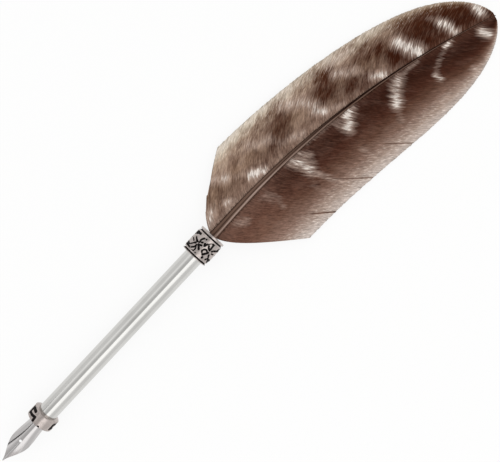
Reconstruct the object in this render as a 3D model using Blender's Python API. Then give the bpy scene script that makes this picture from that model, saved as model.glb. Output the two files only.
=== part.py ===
"""Feather dip pen lying on a table: a steel nib in a polished tube, two cast rings and a wing feather.

Sizes are in metres and angles in degrees. In the pen's own frame the tube's axis is the X axis,
the nib's point is at x = 0 and the feather is at +X. The last step sets the whole pen on z = 0,
with the middle of its outline over the origin.
"""

from math import asin, atan2, cos, exp, pi, radians, sin, tan

import bmesh
import bpy
from mathutils import Vector

# Fits
FIT_GAP = 0.0002
ROUND_SIDES = 48

# Nib
NIB_REACH = 0.0204
NIB_INSERT = 0.0110
NIB_SHEET = 0.0003
NIB_POINT_WIDTH = 0.0004
NIB_SHOULDER_WIDTH = 0.0080
NIB_SHOULDER_SET = 0.0109
NIB_POINT_BEND = 0.0100
NIB_POINT_DROP = 0.0016
NIB_WRAP_ANGLE = 84.0
BREATHER_SET = 0.0110
BREATHER_DIAMETER = 0.0011
SLIT_WIDTH = 0.00015

# Core in the tube's mouth
CORE_RECESS = 0.0012
CORE_PLUG_LENGTH = 0.0070
CORE_CHAMFER = 0.0005

# Tube
TUBE_DIAMETER = 0.0081
TUBE_WALL = 0.0004
TUBE_SHOWN = 0.0855

# Collar ring
RING_DIAMETER = 0.0116
RING_LENGTH = 0.0052
RING_CHAMFER = 0.0004
RING_FACE_WALL = 0.0010
RING_LIP = 0.0008

# Ferrule
FERRULE_DIAMETER = 0.0119
FERRULE_LENGTH = 0.0112
FERRULE_LIP = 0.0010
FERRULE_FRONT_BEAD = 0.0003
FERRULE_BACK_BEAD = 0.0008
FERRULE_GROOVE = 0.0007
FERRULE_RIM = 0.0005
FERRULE_RIM_STEP = 0.0004
FERRULE_GROOVE_DEPTH = 0.0005

# Bush that holds the quill
BUSH_TAIL = 0.0040
BUSH_CHAMFER = 0.0005

# Feather shaft
FEATHER_LENGTH = 0.1438
FEATHER_SWEEP = 0.0314
FEATHER_LEAN = 0.0665
FEATHER_LEAN_RUN = 0.0100
FEATHER_DROP = 0.0047
CALAMUS_LENGTH = 0.0180
SHAFT_BASE_WIDTH = 0.0035
SHAFT_TIP_WIDTH = 0.0006
SHAFT_GROOVE_DEPTH = 0.00035

# Vanes
VANE_SHEET = 0.0004
VANE_CAMBER_RADIUS = 0.1100
VANE_START = 0.0004
VANE_TIP_WIDTH = 0.0004
LEFT_VANE_WIDTH = 0.0235
LEFT_VANE_TAPER = 0.14
LEFT_VANE_POWER = 8.5
LEFT_VANE_ROUNDING = 0.7
LEFT_BASE_ANGLE = 40.5
LEFT_TIP_ANGLE = 42.0
LEFT_BARB_CURVE = 1.6
RIGHT_VANE_WIDTH = 0.0295
RIGHT_VANE_TAPER = 0.04
RIGHT_VANE_POWER = 5.5
RIGHT_VANE_ROUNDING = 0.6
RIGHT_BASE_ANGLE = 51.0
RIGHT_TIP_ANGLE = 35.0
RIGHT_BARB_CURVE = 1.33
VANE_ROWS = 40
VANE_COLUMNS = 8

# Places and radii that follow from the sizes above
TUBE_RADIUS = TUBE_DIAMETER / 2
TUBE_BORE = TUBE_RADIUS - TUBE_WALL
SLEEVE_BORE = TUBE_RADIUS + FIT_GAP
NIB_OUTER = TUBE_BORE - FIT_GAP
NIB_SHANK_BEND = NIB_OUTER - NIB_SHEET / 2
NIB_LENGTH = NIB_REACH + NIB_INSERT
FERRULE_X = NIB_REACH + RING_LENGTH + TUBE_SHOWN
FEATHER_X = FERRULE_X + FERRULE_LENGTH
TUBE_X = NIB_REACH + RING_LIP + FIT_GAP
TUBE_END_X = FEATHER_X - FERRULE_LIP - FIT_GAP
BUSH_X = FERRULE_X - BUSH_TAIL
QUILL_BORE = SHAFT_BASE_WIDTH / 2 + FIT_GAP


def clear_scene():
    """Removes every object that is already in the file."""
    for item in list(bpy.data.objects):
        bpy.data.objects.remove(item, do_unlink=True)


def make_finish(name, colour, roughness, metallic):
    """A Principled material with one colour."""
    material = bpy.data.materials.new(name)
    material.use_nodes = True
    shader = material.node_tree.nodes["Principled BSDF"]
    shader.inputs["Base Color"].default_value = (*colour, 1.0)
    shader.inputs["Roughness"].default_value = roughness
    shader.inputs["Metallic"].default_value = metallic
    return material


def add_empty(name, parent=None):
    """An empty that other objects hang from."""
    empty = bpy.data.objects.new(name, None)
    empty.parent = parent
    bpy.context.collection.objects.link(empty)
    return empty


def add_object(name, shape, parent, x=0.0, finish=None, crease_angle=30.0):
    """Puts a finished bmesh into the scene at a place along the pen's axis."""
    mesh = bpy.data.meshes.new(name)
    shape.to_mesh(mesh)
    shape.free()
    mesh.shade_smooth()
    mesh.set_sharp_from_angle(angle=radians(crease_angle))
    if finish:
        mesh.materials.append(finish)
    item = bpy.data.objects.new(name, mesh)
    item.parent = parent
    item.location.x = x
    bpy.context.collection.objects.link(item)
    return item


def turned(profile, closed):
    """Spins a profile of (x, radius) points round the X axis. A closed one makes a ring, an open one a plug."""
    shape = bmesh.new()
    points = [shape.verts.new((x, 0.0, radius)) for x, radius in profile]
    edges = [shape.edges.new(pair) for pair in zip(points, points[1:])]
    if closed:
        edges.append(shape.edges.new((points[-1], points[0])))
    bmesh.ops.spin(
        shape,
        geom=points + edges,
        axis=(1.0, 0.0, 0.0),
        cent=(0.0, 0.0, 0.0),
        angle=2 * pi,
        steps=ROUND_SIDES,
        use_merge=True,
    )
    bmesh.ops.remove_doubles(shape, verts=shape.verts, dist=1e-6)
    bmesh.ops.recalc_face_normals(shape, faces=shape.faces)
    return shape


def mapped_sheet(rows, columns, place):
    """A grid of faces with each corner put where place(row share, column share) says."""
    shape = bmesh.new()
    bmesh.ops.create_grid(shape, x_segments=rows, y_segments=columns, size=0.5)
    for corner in shape.verts:
        corner.co = place(corner.co.x + 0.5, corner.co.y + 0.5)
    bmesh.ops.recalc_face_normals(shape, faces=shape.faces)
    return shape


def thicken(item, thickness):
    """Gives a sheet its thickness, half to each side."""
    solidify = item.modifiers.new("sheet", "SOLIDIFY")
    solidify.thickness = thickness
    solidify.offset = 0.0


def cut(item, shape, name, parent):
    """Cuts a closed shape out of an object with a Boolean."""
    cutter = add_object(name, shape, parent)
    cutter.hide_render = True
    cutter.display_type = "WIRE"
    boolean = item.modifiers.new(name, "BOOLEAN")
    boolean.operation = "DIFFERENCE"
    boolean.solver = "EXACT"
    boolean.object = cutter


# Nib


def nib_half_width(x):
    """Half the nib's width as seen from above: a concave point, round shoulders and a narrower shank."""
    shoulder = NIB_SHOULDER_WIDTH / 2
    if x < NIB_SHOULDER_SET:
        rise = sin(pi / 2 * x / NIB_SHOULDER_SET) ** 1.6
        return NIB_POINT_WIDTH / 2 + (shoulder - NIB_POINT_WIDTH / 2) * rise
    shank = NIB_SHANK_BEND * sin(radians(NIB_WRAP_ANGLE))
    share = min((x - NIB_SHOULDER_SET) / (NIB_REACH - NIB_SHOULDER_SET), 1.0)
    return shoulder + (shank - shoulder) * (1 - cos(pi * share)) / 2


def nib_point_at(along, across):
    """A point of the nib's middle surface, which is rolled tight at the shank and flattens to the point."""
    x = along * NIB_LENGTH
    flattening = max(1 - x / NIB_REACH, 0.0)
    bend = NIB_SHANK_BEND + (NIB_POINT_BEND - NIB_SHANK_BEND) * flattening**1.5
    top = NIB_SHANK_BEND - NIB_POINT_DROP * flattening**2
    reach = min(nib_half_width(x) / bend, sin(radians(NIB_WRAP_ANGLE)))
    angle = asin(reach) * (2 * across - 1)
    return Vector((x, bend * sin(angle), top - bend * (1 - cos(angle))))


def make_nib(parent, finish):
    nib = add_object("nib", mapped_sheet(44, 14, nib_point_at), parent, finish=finish)
    thicken(nib, NIB_SHEET)
    height = NIB_POINT_DROP + NIB_POINT_BEND / 2
    top = NIB_OUTER + NIB_SHEET

    slit = bmesh.new()
    bmesh.ops.create_cube(slit, size=1.0)
    length = BREATHER_SET + NIB_SHEET
    bmesh.ops.scale(slit, verts=slit.verts, vec=(length, SLIT_WIDTH, height))
    bmesh.ops.translate(slit, verts=slit.verts, vec=(length / 2 - NIB_SHEET, 0.0, top - height / 2))
    cut(nib, slit, "slit_cutter", parent)

    breather = bmesh.new()
    bmesh.ops.create_cone(
        breather,
        cap_ends=True,
        segments=24,
        radius1=BREATHER_DIAMETER / 2,
        radius2=BREATHER_DIAMETER / 2,
        depth=height,
    )
    bmesh.ops.translate(breather, verts=breather.verts, vec=(BREATHER_SET, 0.0, top - height / 2))
    cut(nib, breather, "breather_cutter", parent)


def make_nib_core(parent, finish):
    """Plug in the tube's mouth. Its thin nose leaves the slot that grips the nib's shank."""
    nose = NIB_OUTER - NIB_SHEET - FIT_GAP
    plug = TUBE_BORE - FIT_GAP
    step = NIB_INSERT - CORE_RECESS + FIT_GAP
    end = step + CORE_PLUG_LENGTH
    profile = [
        (0.0, 0.0),
        (0.0, nose - CORE_CHAMFER),
        (CORE_CHAMFER, nose),
        (step, nose),
        (step, plug),
        (end - CORE_CHAMFER, plug),
        (end, plug - CORE_CHAMFER),
        (end, 0.0),
    ]
    add_object("nib_core", turned(profile, closed=False), parent, NIB_REACH + CORE_RECESS, finish)


# Tube and rings


def make_collar_ring(parent, finish):
    """Chamfered ring over the tube's mouth, with a lip in front of the tube's end."""
    outer = RING_DIAMETER / 2
    face = SLEEVE_BORE + RING_FACE_WALL
    profile = [
        (0.0, TUBE_BORE),
        (0.0, face),
        (RING_CHAMFER, outer),
        (RING_LENGTH - RING_CHAMFER, outer),
        (RING_LENGTH, face),
        (RING_LENGTH, SLEEVE_BORE),
        (RING_LIP, SLEEVE_BORE),
        (RING_LIP, TUBE_BORE),
    ]
    add_object("collar_ring", turned(profile, closed=True), parent, NIB_REACH, finish)


def make_barrel_tube(parent, finish):
    length = TUBE_END_X - TUBE_X
    profile = [(0.0, TUBE_BORE), (0.0, TUBE_RADIUS), (length, TUBE_RADIUS), (length, TUBE_BORE)]
    add_object("barrel_tube", turned(profile, closed=True), parent, TUBE_X, finish)


def make_ferrule(parent, finish):
    """Sleeve with a bead, a groove and a rim at each end of its raised band, and a lip over the tube's end."""
    band = FERRULE_DIAMETER / 2
    outer = band - FERRULE_RIM_STEP
    groove = outer - FERRULE_GROOVE_DEPTH

    def end_profile(bead_end):
        groove_end = bead_end + FERRULE_GROOVE
        rim_end = groove_end + FERRULE_RIM
        return [
            (0.0, outer),
            (bead_end, outer),
            (bead_end, groove),
            (groove_end, groove),
            (groove_end, outer),
            (rim_end, outer),
            (rim_end, band),
        ]

    front = end_profile(FERRULE_FRONT_BEAD)
    back = [(FERRULE_LENGTH - x, radius) for x, radius in reversed(end_profile(FERRULE_BACK_BEAD))]
    inside = [
        (FERRULE_LENGTH, QUILL_BORE),
        (FERRULE_LENGTH - FERRULE_LIP, QUILL_BORE),
        (FERRULE_LENGTH - FERRULE_LIP, SLEEVE_BORE),
        (0.0, SLEEVE_BORE),
    ]
    add_object("ferrule", turned(front + back + inside, closed=True), parent, FERRULE_X, finish)


def make_calamus_bush(parent, finish):
    length = TUBE_END_X - BUSH_X
    outer = TUBE_BORE - FIT_GAP
    profile = [
        (0.0, QUILL_BORE),
        (0.0, outer - BUSH_CHAMFER),
        (BUSH_CHAMFER, outer),
        (length, outer),
        (length, QUILL_BORE),
    ]
    add_object("calamus_bush", turned(profile, closed=True), parent, BUSH_X, finish)


# Feather


def shaft_centre(s):
    """The shaft's centre at distance s past the ferrule.

    It is straight in the bush, eases into a small lean to the left, and is swept to the right and down.
    """
    past = max(s, 0.0)
    share = past / FEATHER_LENGTH
    lean = FEATHER_LEAN * past**2 / (past + FEATHER_LEAN_RUN)
    return Vector((s, lean - FEATHER_SWEEP * share**2, -FEATHER_DROP * share**2))


def shaft_side(s):
    """Level unit vector square to the shaft, towards the left vane."""
    past = max(s, 0.0)
    lean = FEATHER_LEAN * past * (past + 2 * FEATHER_LEAN_RUN) / (past + FEATHER_LEAN_RUN) ** 2
    slope = lean - 2 * FEATHER_SWEEP * past / FEATHER_LENGTH**2
    return Vector((-slope, 1.0, 0.0)).normalized()


def shaft_radius(s):
    share = min(max(s / FEATHER_LENGTH, 0.0), 1.0)
    return (SHAFT_BASE_WIDTH + (SHAFT_TIP_WIDTH - SHAFT_BASE_WIDTH) * share) / 2


def make_feather_shaft(parent, finish):
    """Round quill in the bush, then a tapering shaft with a groove along the top."""
    shape = bmesh.new()
    bmesh.ops.create_cone(shape, cap_ends=True, segments=16, radius1=1.0, radius2=1.0, depth=1.0)
    lengthwise = [edge for edge in shape.edges if abs(edge.verts[0].co.z - edge.verts[1].co.z) > 0.5]
    bmesh.ops.subdivide_edges(shape, edges=lengthwise, cuts=44, use_grid_fill=True)
    for corner in shape.verts:
        s = -CALAMUS_LENGTH + (corner.co.z + 0.5) * (FEATHER_LENGTH + CALAMUS_LENGTH)
        angle = atan2(corner.co.y, corner.co.x)
        radius = shaft_radius(s)
        groove = exp(-(((angle - pi / 2) / 0.35) ** 2)) * min(max(s / FEATHER_LENGTH, 0.0) * 8, 1.0)
        height = radius * sin(angle) - SHAFT_GROOVE_DEPTH * groove * radius / (SHAFT_BASE_WIDTH / 2)
        corner.co = shaft_centre(s) + shaft_side(s) * radius * cos(angle) + Vector((0.0, 0.0, height))
    add_object("feather_shaft", shape, parent, FEATHER_X, finish, crease_angle=60.0)


def make_vane(name, side, width, taper, power, rounding, base_angle, tip_angle, curve, parent, finish):
    """A cambered sheet laid out in rows that follow the barbs, from the shaft out to the trimmed edge.

    side is 1 for the left vane and -1 for the right. The edge's distance from the shaft is
    width * (1 - taper * x) * (1 - x ** power) ** rounding, with x the share of the feather's length.
    A barb runs forward as its outward share to the power of curve.
    """

    def edge_distance(s):
        share = min(s / FEATHER_LENGTH, 1.0)
        return width * (1 - taper * share) * (1 - share**power) ** rounding

    def barb_angle(s):
        return radians(base_angle + (tip_angle - base_angle) * s / FEATHER_LENGTH)

    first_end = VANE_START + edge_distance(0.0) / tan(radians(base_angle))
    tip_end = FEATHER_LENGTH - VANE_TIP_WIDTH

    def place(row, column):
        end = first_end + (tip_end - first_end) * sin(row * pi / 2)
        root = max(end - edge_distance(end) / tan(barb_angle(end)), VANE_START)
        s = root + (end - root) * column**curve
        near = shaft_radius(s) + FIT_GAP
        out = near + max(edge_distance(end) - near, VANE_TIP_WIDTH) * column
        fall = out**2 / (2 * VANE_CAMBER_RADIUS)
        return shaft_centre(s) + shaft_side(s) * side * out - Vector((0.0, 0.0, fall))

    vane = add_object(name, mapped_sheet(VANE_ROWS, VANE_COLUMNS, place), parent, FEATHER_X, finish)
    thicken(vane, VANE_SHEET)


def set_down(root):
    """Moves the pen so that the middle of its outline is over the origin and its lowest point is at z = 0."""
    bpy.context.view_layer.update()
    graph = bpy.context.evaluated_depsgraph_get()
    corners = []
    for item in bpy.data.objects:
        if item.type == "MESH" and not item.hide_render:
            shown = item.evaluated_get(graph)
            corners.extend(shown.matrix_world @ corner.co for corner in shown.data.vertices)
    low = Vector(min(corner[axis] for corner in corners) for axis in range(3))
    high = Vector(max(corner[axis] for corner in corners) for axis in range(3))
    root.location = (-(low.x + high.x) / 2, -(low.y + high.y) / 2, -low.z)
    bpy.context.view_layer.update()


def main():
    clear_scene()
    root = add_empty("pen")
    nib_slide = add_empty("nib_slide", root)

    steel = make_finish("nib_steel", (0.56, 0.56, 0.55), 0.25, 1.0)
    core_brass = make_finish("core_brass", (0.60, 0.46, 0.22), 0.40, 1.0)
    ring_silver = make_finish("ring_silver", (0.45, 0.41, 0.40), 0.38, 1.0)
    tube_chrome = make_finish("tube_chrome", (0.72, 0.73, 0.72), 0.15, 1.0)
    ferrule_silver = make_finish("ferrule_silver", (0.50, 0.46, 0.45), 0.38, 1.0)
    bush_wood = make_finish("bush_wood", (0.42, 0.27, 0.14), 0.70, 0.0)
    shaft_horn = make_finish("shaft_horn", (0.10, 0.06, 0.045), 0.45, 0.0)
    pale_vane = make_finish("pale_vane", (0.27, 0.19, 0.15), 0.75, 0.0)
    dark_vane = make_finish("dark_vane", (0.12, 0.07, 0.05), 0.75, 0.0)

    make_nib(nib_slide, steel)
    make_nib_core(root, core_brass)
    make_collar_ring(root, ring_silver)
    make_barrel_tube(root, tube_chrome)
    make_ferrule(root, ferrule_silver)
    make_calamus_bush(root, bush_wood)
    make_feather_shaft(root, shaft_horn)
    make_vane(
        "left_vane",
        1,
        LEFT_VANE_WIDTH,
        LEFT_VANE_TAPER,
        LEFT_VANE_POWER,
        LEFT_VANE_ROUNDING,
        LEFT_BASE_ANGLE,
        LEFT_TIP_ANGLE,
        LEFT_BARB_CURVE,
        root,
        pale_vane,
    )
    make_vane(
        "right_vane",
        -1,
        RIGHT_VANE_WIDTH,
        RIGHT_VANE_TAPER,
        RIGHT_VANE_POWER,
        RIGHT_VANE_ROUNDING,
        RIGHT_BASE_ANGLE,
        RIGHT_TIP_ANGLE,
        RIGHT_BARB_CURVE,
        root,
        dark_vane,
    )
    set_down(root)


main()
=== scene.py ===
import random
from math import asin, cos, pi, radians, sin, tan

import bmesh
import bpy
import numpy as np
from bpy.props import FloatProperty, FloatVectorProperty, PointerProperty
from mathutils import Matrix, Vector, noise


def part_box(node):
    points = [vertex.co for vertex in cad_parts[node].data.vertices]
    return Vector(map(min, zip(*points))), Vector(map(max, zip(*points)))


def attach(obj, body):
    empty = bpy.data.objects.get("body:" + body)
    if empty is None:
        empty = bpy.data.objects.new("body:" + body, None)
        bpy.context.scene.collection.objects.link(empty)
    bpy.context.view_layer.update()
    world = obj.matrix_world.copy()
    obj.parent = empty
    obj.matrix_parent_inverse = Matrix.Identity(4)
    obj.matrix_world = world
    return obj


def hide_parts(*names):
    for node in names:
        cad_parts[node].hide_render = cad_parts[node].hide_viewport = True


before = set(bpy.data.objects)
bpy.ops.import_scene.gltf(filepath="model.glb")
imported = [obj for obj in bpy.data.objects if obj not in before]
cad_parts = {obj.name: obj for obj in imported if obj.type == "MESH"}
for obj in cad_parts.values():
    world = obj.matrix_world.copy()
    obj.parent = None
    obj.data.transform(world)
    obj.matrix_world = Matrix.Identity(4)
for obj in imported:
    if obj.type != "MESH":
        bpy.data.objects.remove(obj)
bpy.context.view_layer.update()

bl_info = {
    "name": "Quill Pen",
    "version": (1, 0, 0),
    "blender": (4, 5, 0),
    "location": "3D View > Sidebar > Quill Pen",
    "description": "Dresses a quill pen: rolled nib, cast rings, polished tube and a barred wing feather",
    "category": "Mesh",
}

# Places taken from the frame, in metres

TUBE_LOW, TUBE_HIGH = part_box("barrel_tube")
RING_LOW, RING_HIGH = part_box("collar_ring")
FERRULE_LOW, FERRULE_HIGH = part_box("ferrule")
AXIS_Y = (TUBE_LOW[1] + TUBE_HIGH[1]) / 2
AXIS_Z = (TUBE_LOW[2] + TUBE_HIGH[2]) / 2
TUBE_RADIUS = (TUBE_HIGH[1] - TUBE_LOW[1]) / 2
RING_RADIUS = (RING_HIGH[1] - RING_LOW[1]) / 2
RING_LENGTH = RING_HIGH[0] - RING_LOW[0]
FERRULE_RADIUS = (FERRULE_HIGH[1] - FERRULE_LOW[1]) / 2
FERRULE_LENGTH = FERRULE_HIGH[0] - FERRULE_LOW[0]
FEATHER_X = FERRULE_HIGH[0]
MM = 0.001


def linear(code):
    """Turns an sRGB hex colour into linear red, green and blue."""
    shades = [int(code[place : place + 2], 16) / 255 for place in (1, 3, 5)]
    return tuple(shade / 12.92 if shade <= 0.04045 else ((shade + 0.055) / 1.055) ** 2.4 for shade in shades)


def length(name, description, default):
    """A size in metres that a user may change."""
    return FloatProperty(name=name, description=description, default=default, unit="LENGTH", precision=6)


def share(name, description, default):
    """A plain number that a user may change."""
    return FloatProperty(name=name, description=description, default=default, subtype="FACTOR", min=0.0)


def angle(name, description, degrees):
    """An angle that a user may change."""
    return FloatProperty(name=name, description=description, default=radians(degrees), subtype="ANGLE")


def colour(name, description, code):
    """A colour that a user may change."""
    return FloatVectorProperty(
        name=name, description=description, default=linear(code), subtype="COLOR", size=3, min=0.0, max=1.0
    )


# Sizes and colours


class QuillMetalSizes(bpy.types.PropertyGroup):
    """Sizes of the nib, the tube, the ring and the ferrule."""

    nib_reach: length("Nib reach", "How far the nib stands out of the ring", 0.0204)
    nib_insert: length("Nib insert", "How far the nib's shank goes into the ring", 0.011)
    nib_sheet: length("Nib sheet", "Thickness of the nib's steel", 0.0003)
    nib_point: length("Nib point", "Width of the nib's point", 0.0004)
    nib_shoulder: length("Nib shoulder", "Width of the nib at its shoulders", 0.0080)
    nib_shoulder_set: length("Shoulder set", "Distance of the shoulders from the point", 0.0109)
    nib_shank_bend: length("Shank bend", "Radius to which the shank is rolled", 0.0033)
    nib_point_bend: length("Point bend", "Radius to which the point is rolled", 0.010)
    nib_point_drop: length("Point drop", "How far the point lies below the shank's crest", 0.0016)
    nib_wrap: angle("Shank wrap", "Half the angle that the shank goes round", 84.0)
    breather_set: length("Breather set", "Distance of the breather hole from the point", 0.011)
    breather: length("Breather", "Diameter of the breather hole", 0.0012)
    slit: length("Slit", "Width of the slit between the tines", 0.00006)
    tube_wall: length("Tube wall", "Thickness of the tube's wall", 0.0004)
    fit_gap: length("Fit gap", "Clearance between pieces that are pressed together", 0.00006)
    ring_chamfer: length("Ring chamfer", "Length of the slope at each end of the ring", 0.0004)
    ring_face: length("Ring face", "Width of the flat face at each end of the ring", 0.001)
    ring_lip: length("Ring lip", "Thickness of the ring's lip before the tube's mouth", 0.0008)
    key_depth: length("Key depth", "Depth of the key ornament cut into the ring", 0.00028)
    ferrule_lip: length("Ferrule lip", "Thickness of the ferrule's lip over the tube's end", 0.001)
    front_bead: length("Front bead", "Width of the bead at the ferrule's tube end", 0.0003)
    back_bead: length("Back bead", "Width of the bead at the ferrule's feather end", 0.0008)
    groove: length("Groove", "Width of the groove beside each bead", 0.0007)
    groove_depth: length("Groove depth", "Depth of the groove beside each bead", 0.0005)
    rim: length("Rim", "Width of the rim at each end of the rosette band", 0.0005)
    rim_step: length("Rim step", "How far the rims and beads lie below the rosettes", 0.0002)
    rosette_depth: length("Rosette depth", "Depth of the recesses between the rosettes' arms", 0.0005)


class QuillFeatherSizes(bpy.types.PropertyGroup):
    """Sizes that the shaft and both vanes share."""

    reach: length("Feather reach", "Length of the feather past the ferrule", 0.1438)
    calamus: length("Calamus", "Length of the quill inside the ferrule and tube", 0.018)
    lean: share("Lean", "Slope of the shaft's lean to the left", 0.0665)
    lean_run: length("Lean run", "Length over which the shaft takes up its lean", 0.01)
    sweep: length("Sweep", "How far the tip is swept to the right of the leaning line", 0.0314)
    drop: length("Drop", "How far the tip droops", 0.0047)
    base_width: length("Shaft base", "Width of the shaft at the ferrule", 0.0035)
    tip_width: length("Shaft tip", "Width that the shaft's straight sides run to at the tip", 0.0006)
    thinning: share("Thinning", "Share of its width that the tip loses besides", 0.55)
    groove_depth: length("Shaft groove", "Depth of the groove along the shaft's top", 0.00035)
    groove_half: angle("Groove spread", "Angle from the groove's middle to its side", 20.05)
    camber: length("Camber", "Radius of the vanes' camber", 0.110)
    barb_pitch: length("Barb pitch", "Distance between barbs along the shaft", 0.0006)
    barb_ridge: length("Barb ridge", "Height of each barb's ridge over the web", 0.00009)
    web: length("Web", "Thickness of the vanes' web", 0.00016)
    wave: length("Wave", "Height of the slow waves along the vanes' edges", 0.00025)
    slip: length("Slip", "How far a web slips under its neighbour at a parting", 0.00028)


def vane_sizes(width, taper, power, rounding, base_angle, tip_angle, curve):
    """The sizes that each vane has of its own."""
    return {
        "width": length("Width", "Width of the vane at its base", width),
        "taper": share("Taper", "Share of the width lost towards the tip", taper),
        "power": share("Power", "How late the edge turns in to the tip", power),
        "rounding": share("Rounding", "How round the edge is at the tip", rounding),
        "base_angle": angle("Base angle", "Angle of the first barbs to the shaft", base_angle),
        "tip_angle": angle("Tip angle", "Angle of the last barbs to the shaft", tip_angle),
        "curve": share("Curve", "How strongly the barbs bend towards the tip", curve),
    }


class QuillLeftVane(bpy.types.PropertyGroup):
    """Sizes of the paler, narrower vane."""

    __annotations__ = vane_sizes(
        width=0.0235, taper=0.14, power=8.5, rounding=0.7, base_angle=43.0, tip_angle=42.0, curve=1.47
    )


class QuillRightVane(bpy.types.PropertyGroup):
    """Sizes of the darker, wider vane."""

    __annotations__ = vane_sizes(
        width=0.0295, taper=0.04, power=5.5, rounding=0.6, base_angle=51.0, tip_angle=35.0, curve=1.42
    )


class QuillColours(bpy.types.PropertyGroup):
    """Colours of the pen's materials."""

    steel: colour("Steel", "Polished steel of the nib", "#c9c6c5")
    chrome: colour("Chrome", "Bright plating of the tube", "#d2d1ce")
    silver: colour("Silver", "Worn silver of the ring and the ferrule", "#bfb5b0")
    # Patina is the dark of the ring's and ferrule's recesses; in the pit at the ring's mouth it is painted
    # shade
    patina: colour("Patina", "Dark patina in the recesses", "#120d0c")
    brass: colour("Brass", "Turned brass of the plug in the tube's mouth", "#b08f52")
    wood: colour("Wood", "Turned wood of the bush in the tube's end", "#8a6844")
    horn: colour("Horn", "Brown horn of the shaft", "#6a5347")
    # Painted shade: this dark horn colours the shaft's edges and its groove where shade falls
    horn_shade: colour("Dark horn", "Edges and groove of the shaft", "#3b2a22")
    horn_black: colour("Black horn", "Outer half of the shaft", "#21100a")
    # Painted highlight: this pale horn colours the lit ridge of the shaft
    horn_highlight: colour("Pale horn", "Rubbed ridge of the shaft", "#ab958a")
    pale_bar: colour("Pale bar", "Middle of the pale bars of both vanes", "#ddd3ca")
    bar_edge: colour("Bar edge", "Outer streaks of the pale bars", "#b59f92")


# Small helpers

METAL_CREASE = 35.0
MERGE_DISTANCE = 1e-7
SAME_PLACE = 1e-6


def set_sockets(node, links=None, values=None):
    """Sets a node's socket values and links. A link that names a node starts at its first output."""
    for socket, value in (values or {}).items():
        node.inputs[socket].default_value = value
    for socket, source in (links or {}).items():
        output = source.outputs[0] if isinstance(source, bpy.types.Node) else source
        node.id_data.links.new(output, node.inputs[socket])


def add_node(tree, kind, links=None, values=None, stops=(), **settings):
    """Adds a shader node with its settings, ramp stops, socket values and links."""
    node = tree.nodes.new("ShaderNode" + kind)
    for name, value in settings.items():
        setattr(node, name, value)
    for place, (position, shade) in enumerate(stops):
        if place >= len(node.color_ramp.elements):
            node.color_ramp.elements.new(1.0)
        node.color_ramp.elements[place].position = position
        node.color_ramp.elements[place].color = (*shade, 1.0)
    set_sockets(node, links, values)
    return node


def new_material(name):
    """A new material, its node tree and its Principled shader."""
    material = bpy.data.materials.new(name)
    material.use_nodes = True
    return material, material.node_tree, material.node_tree.nodes["Principled BSDF"]


def shaded(parts, level):
    """A colour darkened to a share of its brightness."""
    return [part * level for part in parts]


def smooth_step(low, high, value):
    """0 below low, 1 above high and an even slope between them."""
    ratio = np.clip((value - low) / (high - low), 0.0, 1.0)
    return ratio * ratio * (3 - 2 * ratio)


def add_object(name, shape, material=None):
    """Puts a finished bmesh into the scene."""
    mesh = bpy.data.meshes.new(name)
    shape.to_mesh(mesh)
    shape.free()
    if material:
        mesh.materials.append(material)
    item = bpy.data.objects.new(name, mesh)
    bpy.context.scene.collection.objects.link(item)
    return item


def shade_smooth(piece, crease):
    """Shades a piece smooth, apart from edges that bend more than the crease in degrees."""
    piece.data.shade_smooth()
    piece.data.set_sharp_from_angle(angle=radians(crease))


def add_piece(name, shape, material, node, body="holder", crease=METAL_CREASE):
    """Puts a finished bmesh into the scene, in place of a CAD node and riding on a body."""
    piece = add_object(name, shape, material)
    shade_smooth(piece, crease)
    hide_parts(node)
    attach(piece, body)
    return piece


def thicken(piece, thickness, offset):
    """Gives a sheet its thickness, on both sides with offset 0 and below with offset -1."""
    sheet = piece.modifiers.new("sheet", "SOLIDIFY")
    sheet.thickness = thickness
    sheet.offset = offset


def turned(profile, sides):
    """Spins a closed profile of (x, radius) points round the tube's axis."""
    shape = bmesh.new()
    points = [shape.verts.new((x, AXIS_Y, AXIS_Z + radius)) for x, radius in profile]
    edges = [shape.edges.new(pair) for pair in zip(points, points[1:] + points[:1])]
    bmesh.ops.spin(
        shape,
        geom=points + edges,
        axis=(1.0, 0.0, 0.0),
        cent=(0.0, AXIS_Y, AXIS_Z),
        angle=2 * pi,
        steps=sides,
        use_merge=True,
    )
    bmesh.ops.remove_doubles(shape, verts=shape.verts, dist=MERGE_DISTANCE)
    bmesh.ops.recalc_face_normals(shape, faces=shape.faces)
    return shape


def evenly(start, end, step):
    """Values from start to end, both included, about step apart."""
    count = max(int(round(abs(end - start) / step)), 1)
    return [start + (end - start) * place / count for place in range(count + 1)]


def angle_from(around, degrees):
    """Angles counted from a direction in degrees, between minus and plus half a turn."""
    return (around - radians(degrees) + pi) % (2 * pi) - pi


def line_distance(x, y, points):
    """Distance of each place from a line through the points."""
    nearest = np.full(x.shape, np.inf)
    for (ax, ay), (bx, by) in zip(points, points[1:]):
        run_x = bx - ax
        run_y = by - ay
        along = np.clip(((x - ax) * run_x + (y - ay) * run_y) / (run_x**2 + run_y**2), 0.0, 1.0)
        nearest = np.minimum(nearest, np.hypot(x - ax - along * run_x, y - ay - along * run_y))
    return nearest


def stroke(x, y, points, half_width, slope):
    """1 on a line through the points, 0 away from it, with sloping sides."""
    return 1.0 - smooth_step(half_width, half_width + slope, line_distance(x, y, points))


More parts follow.
